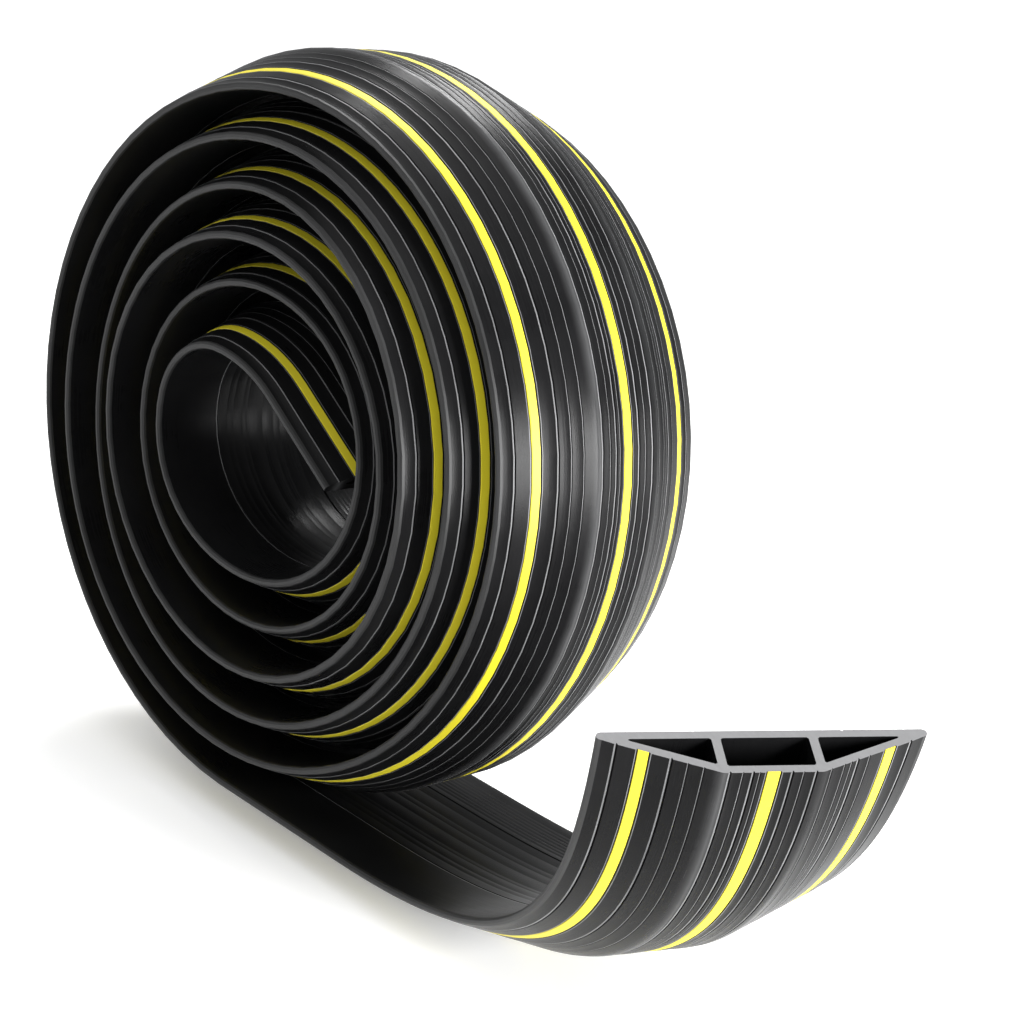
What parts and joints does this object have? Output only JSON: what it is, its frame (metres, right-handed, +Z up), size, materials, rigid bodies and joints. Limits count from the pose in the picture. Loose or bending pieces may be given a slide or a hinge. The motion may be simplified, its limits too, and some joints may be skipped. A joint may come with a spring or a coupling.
{
  "type": "floor cord cover",
  "caption": "Loose upright roll of a ridged black rubber floor strip with hollow cord channels, raised middle, thin sloping edges and yellow warning stripes.",
  "frame": {"origin": "on the floor plane, below the roll's axis and in the middle of the tail's width, where the raised middle of the strip rests", "axes": "+Z up from the floor, the roll's axis along Y with its near end towards -Y, and the tail running out towards +X"},
  "size_m": [0.3891, 0.143, 0.2572],
  "materials": {
    "black_rubber": "satin extruded rubber with fine lengthwise grooves and three yellow stripes"
  },
  "bodies": {
    "root": {"cord_cover": "black_rubber"}
  },
  "joints": []
}
